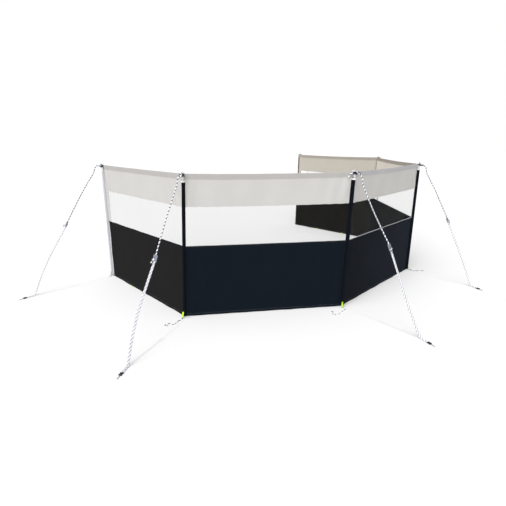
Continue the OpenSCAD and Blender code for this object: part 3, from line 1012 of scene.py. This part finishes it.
def eye_points(k, centre, out):
    """The rope's eye round the spike, from its knot and back to it. Pole 3's eye is long and
    hangs down beside the pole."""
    side, tied = np.cross(UP, out), knot_of(k, centre, out)
    if k == 3:
        away, front = -BAY[2].along, BAY[2].out
        loop = [(0.004, -0.0100, 0.0), (0.022, -0.004, -0.004), (0.044, 0.002, -0.026),
                (0.060, 0.008, -0.046), (0.066, 0.013, -0.053), (0.060, 0.017, -0.046),
                (0.042, 0.020, -0.024), (0.020, 0.016, -0.004), (-0.002, 0.0115, 0.0)]
        loop = [centre + x * away + y * front + z * UP for x, y, z in loop]
    else:
        loop = [centre + x * out + y * side for x, y in (
            (0.014, 0.0085), (-0.003, 0.0102), (-0.0108, 0.0), (-0.003, -0.0102), (0.014, -0.0085))]
    return [tied - out * 0.008 + side * 0.003, *loop, tied - out * 0.008 - side * 0.003]


def add_guy(k):
    pole, out = POLE[k], guy_out(k)
    side = np.cross(UP, out)
    eye = pole.at(CAP_TOP + ROPE_RADIUS + ROPE_REST)
    tied = knot_of(k, eye, out)
    runner, down = runner_of(k)
    facing = unit(out - down * (out @ down))
    hook, away, hook_length = hook_of(k)
    landing = hook - away * GROUND_STRETCH
    left = np.cross(UP, away)
    rest = ROPE_RADIUS + ROPE_REST

    def ground(distance, s):
        return landing + away * distance + left * s * STRAND_SIDE + UP * rest

    def slope(share, s):
        """A point between the runner and the landing, bowed a little outwards."""
        a, b = runner + down * RUNNER_HALF, landing + UP * rest
        bow = LOWER_BOW[k - 1] * math.sin(math.pi * share ** 1.2) ** 1.2
        return a + (b - a) * share + facing * bow + side * s * STRAND_SIDE

    top = runner - down * RUNNER_HALF
    drop = top - tied
    behind = -facing * 0.0085
    bend = [(0.023, 0.019), (0.046, 0.051)] if k == 3 else [(0.022, 0.006), (0.042, 0.026)]
    upper = [tied] + [tied + out * x - UP * z for x, z in bend]
    for share in (0.16, 0.35, 0.60, 0.85):
        bow = UPPER_BOW[k - 1] * math.sin(math.pi * share)
        upper.append(tied + drop * share + facing * bow)
    through = [top - down * 0.004, runner - down * 0.026 + behind * 0.5, runner + behind,
               runner + down * 0.026 + behind * 0.5 + side * 0.003]
    falls, lies = (0.03, 0.25, 0.5, 0.75, 0.93), (0.006, 0.030, 0.060, GROUND_STRETCH + 0.004)
    lower = [slope(t, 1) for t in falls] + [ground(d, 1) for d in lies]
    back = [ground(d, -1) for d in lies[::-1]] + [slope(t, -1) for t in falls[::-1]]
    tie = runner + down * 0.015 - side * 0.006
    back += [runner + down * 0.028 - side * 0.006 + facing * 0.003, tie + facing * 0.013]
    tail = [tie + facing * 0.013, tie + down * 0.014 - side * 0.006 + facing * 0.018,
            tie + down * 0.032 - side * 0.010 + facing * 0.016]
    shapes = [rope(eye_points(k, eye, out)),
              rope(upper + through, (1.7 if k in (1, 4) else 1.15, 1)),
              rope(through[-2:] + lower, (1.5, 0.5)), rope(back, (1.5, 0.5)),
              rope(tail), knot(tied, out, 0.0066), knot(tie + facing * 0.012, facing, 0.0058, 2)]
    piece(f"guy_line_{k}", shapes, "rope", [f"guy_rope_{k}"], sharp=60)
    add_runner(k, runner, down, side, facing)
    add_hook(k, hook, away, hook_length)


def add_runner(k, centre, down, side, facing):
    """A flat runner: a web with three lipped holes between two staggered rails."""
    wide = np.cross(facing, down) * (1 if k in (1, 2) else -1)
    shapes = [block((0.052, 0.026, 0.0070), 0.0025, waist=0.002).placed(centre, down, wide, facing)]
    for y, x, length in ((0.0155, 0.006, 0.062), (-0.0155, -0.007, 0.050)):
        rail = block((length, 0.0085, 0.0105), 0.0036, waist=0.0008)
        shapes.append(rail.placed(centre + wide * y + down * x, down, wide, facing))
    for d in (-0.018, 0.0, 0.018):
        for face in (-1, 1):
            ring = [centre + down * (d + 0.0062 * math.cos(a)) + wide * 0.0062 * math.sin(a)
                    + facing * face * 0.0036 for a in whole_turn(20)]
            shapes.append(tube(ring, 0.0014, 8, closed=True))
    piece(f"runner_{k}", shapes, "runner", ["guy_runners"])


def add_hook(k, start, away, length):
    """The moulded hook at the end of guy rope k, and its steel pin."""
    left = np.cross(UP, away)
    middle = start + away * length / 2
    body = block((length, 0.024, 0.0110), 0.0035, waist=0.0022)
    lip = block((0.008, 0.028, 0.0118), 0.0030)
    rib = block((length * 0.7, 0.0035, 0.0030), 0.0012)
    shapes = [body.placed(middle + UP * 0.0058, away, left, UP)]
    shapes += [lip.placed(start + away * x + UP * 0.0060, away, left, UP)
               for x in (0.006, length - 0.005)]
    shapes += [rib.placed(middle + left * s * 0.007 + UP * 0.0114, away, left, UP) for s in (-1, 1)]
    piece(f"rope_hook_{k}", shapes, "black", ["guy_hooks"])

    pin = nearest(PINS, middle)
    reach = (pin - start) @ away
    first, last = reach.min(), reach.max()
    radius = (pin[:, 2].max() - pin[:, 2].min()) / 2
    profile = [(radius * 0.8, -0.003), (radius * 1.25, 0.0), (radius * 1.25, 0.0022),
               (radius * 0.92, 0.0030)]
    span = last - first - radius
    profile += [(radius * 0.92, span * t) for t in (0.3, 0.6, 0.98)]
    profile += [(radius * 0.92 * math.cos(a), span + radius * math.sin(a))
                for a in np.linspace(0.2, 1.5, 6)]
    shape = lathe(profile, 20).placed(start + away * first + UP * (radius * 1.25 + 0.0003),
                                      left, UP, away)
    piece(f"hook_pin_{k}", shape, "pin", ["hook_pins"])


# ---- webbing, rings and loose cords at the ground ----

def add_foot_fittings(k):
    """The ring at the foot of pole k, and the webbing tab that holds it."""
    forward, across = directions(k)
    solid = nearest(solids_of("base_rings"), POLE[k].foot)
    low, high = solid.min(0), solid.max(0)
    wire = (high[2] - low[2]) / 2
    radius = ((solid - (low + high) / 2)[:, :2] ** 2).sum(1).max() ** 0.5 - wire
    centre = (low + high) / 2
    back_rise = 0.0110
    ring = [centre + forward * radius * math.cos(a) + across * radius * math.sin(a)
            + UP * back_rise * (1 - math.cos(a)) / 2 for a in whole_turn(40)]
    weld = [ring[5] + (ring[6] - ring[5]) * t + UP * wire * 0.2 for t in (-0.9, 0.0, 1.0, 1.9)]
    piece(f"foot_ring_{k}", [tube(ring, wire, 12, closed=True),
                             tube(weld, [wire, wire * 1.18, wire * 1.18, wire], 12)],
          "wire", ["base_rings"], sharp=60)

    node = "end_tabs" if k in END_POLES else "post_tabs"
    tab = nearest(solids_of(node), POLE[k].foot + UP * 0.03)
    top = tab[:, 2].max() + 0.006
    near = ring[25 if k in (2, 3) else 20]
    wrap = wire + 0.0012
    aside = across * {2: -0.006, 3: -0.012}.get(k, 0.0)

    def hanging(z, out, share):
        """A point of the tab in front of the pole."""
        return POLE[k].at(z) + forward * (TUBE_RADIUS + 0.0058 + out) + aside * share

    path = [hanging(top, 0, 0.6), hanging(top - 0.012, 0.0004, 0.8),
            hanging(top * 0.55, 0.0010, 1), near - forward * (wrap + 0.0008) + UP * 0.008]
    path += [near + (forward * x + UP * z) * wrap for x, z in (
        (-1, 0), (-0.5, -0.9), (0.3, -1), (0.95, 0), (0.3, 1.2))]
    path += [hanging(top * 0.55, 0.0034, 1), hanging(top * 0.82, 0.0026, 0.8)]
    path = [p if p[2] > 0.0011 else p * (1, 1, 0) + UP * 0.0011 for p in path]
    shape = strap(smooth_path(path, 0.002), across, 0.0165, 0.0016)
    finish = "grey" if k in END_POLES else "lime"
    piece(f"foot_tab_{k}", shape, finish, [node])


def add_peg_tabs():
    """Two webbing loops on the lower edge of each bay. They lie on the inner side, and the
    first one of bay 1 is turned out under the edge."""
    for k, bay in BAY.items():
        for n, share in enumerate((1 / 3, 2 / 3)):
            base = bay.point(share, GAP_Z + 0.010, -CLOTH / 2) * (1, 1, 0)
            turned_out = (k, n) == (1, 0)
            path = [(0.0016, 0.0165), (0.0018, 0.0120), (0.0024, 0.0065)]
            if turned_out:
                path += [(0.0010, 0.0030), (-0.0040, 0.0014), (-0.0100, 0.0014),
                         (-0.0118, 0.0024), (-0.0100, 0.0036), (-0.0040, 0.0036), (0.0010, 0.0044)]
            else:
                path += [(0.0060, 0.0028), (0.0120, 0.0016), (0.0185, 0.0016), (0.0212, 0.0024),
                         (0.0205, 0.0040), (0.0170, 0.0046), (0.0110, 0.0048), (0.0062, 0.0068),
                         (0.0046, 0.0110)]
            path = [base - bay.out * o + UP * z for o, z in path]
            shape = strap(smooth_path(path, 0.0015), bay.along, 0.0195, 0.0015)
            piece(f"peg_tab_{k}_{n + 1}", shape, "lime", ["peg_tabs"])


def add_loose_cord(k):
    """The loose cord on the ground at pole k, with a knot at its end."""
    foot, height = POLE[k].foot, CORD_RADIUS + CORD_REST
    route = [outward(k)[:2] * CORD_START, *CORD_ROUTES[k]]
    points = [foot + (x, y, height) for x, y in route]
    path = smooth_path(points, 0.016)
    curve = bpy.data.curves.new(f"loose_cord_{k}", "CURVE")
    curve.dimensions = "3D"
    curve.bevel_depth = CORD_RADIUS
    curve.bevel_resolution = 3
    curve.resolution_u = 6
    curve.use_fill_caps = True
    spline = curve.splines.new("BEZIER")
    spline.bezier_points.add(len(path) - 1)
    for place, p in zip(path, spline.bezier_points):
        p.co = place
        p.handle_left_type = p.handle_right_type = "AUTO"
    curve.materials.append(MATERIAL["cord"])
    made = add(f"loose_cord_{k}", curve)
    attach(made, "root")
    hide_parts(f"base_cord_{k}")

    end_way, start_way = unit(path[-1] - path[-2]), unit(path[1] - path[0])
    knots = []
    for place, way, size in ((path[-1], end_way, 0.0042),
                             (path[0] - start_way * 0.001, start_way, 0.0038)):
        side = np.cross(UP, way)
        loop = [place + way * size * 0.9 * (math.sin(t) + 2 * math.sin(2 * t)) * 0.45
                + side * size * 0.9 * (math.cos(t) - 2 * math.cos(2 * t)) * 0.45
                + UP * (0.0026 + 0.0022 * -math.sin(3 * t)) for t in whole_turn(40)]
        knots.append(tube(loop, CORD_RADIUS * 0.85, 8, closed=True))
    tied = piece(f"cord_knots_{k}", knots, "cord", sharp=60)


# ---- build ----

add_camera()
MATERIAL = make_materials()
for number in CORD_ROUTES:
    add_loose_cord(number)
add_light()
add_floor()
for number in BAYS:
    add_bay(number)
add_end_strips()
for number in POLES:
    add_pole(number)
    add_sleeve(number)
    add_corner_loop(number)
    add_guy(number)
    add_foot_fittings(number)
for number in range(2, 6):
    add_corner_tapes(number)
# The window's edge, from pole 1
EDGE = BAY[1].shares_of("window_1")[0] * BAY[1].width - FREE_EDGE
for number, name, first, last, low, high, finish, side in (
        (1, "pale_seam_1", EDGE - 0.002, EDGE + 0.030, WINDOW_Z + 0.003, BAND_Z - 0.011, "band", 1),
        (2, "cream_seam_2", -0.038, -0.0165, BAND_Z + 0.012, SLEEVE_TOP - 0.002, "cream", 1),
        # Painted shadow: beige continues the cream seam above the sleeve top, where it lies in shade
        (2, "seam_painted_shadow_2", -0.031, -0.0165, SLEEVE_TOP, HEM_Z + 0.024, "beige", 1),
        # Painted shade: the brown seam inside the free end at pole 6
        (6, "shaded_binding_seam_6", -0.014, 0.0145, WINDOW_Z + 0.004, TOP_Z - 0.004, "shaded_binding", -1),
        # Painted shade: a beige line that stands in for a shaded crease beside pole 3
        (3, "crease_painted_shade_3", 0.038, 0.046, BAND_Z + 0.012, HEM_Z + 0.020, "beige", 1)):
    add_seam(number, name, first, last, np.linspace(low, high, 24), finish, side=side)
add_peg_tabs()
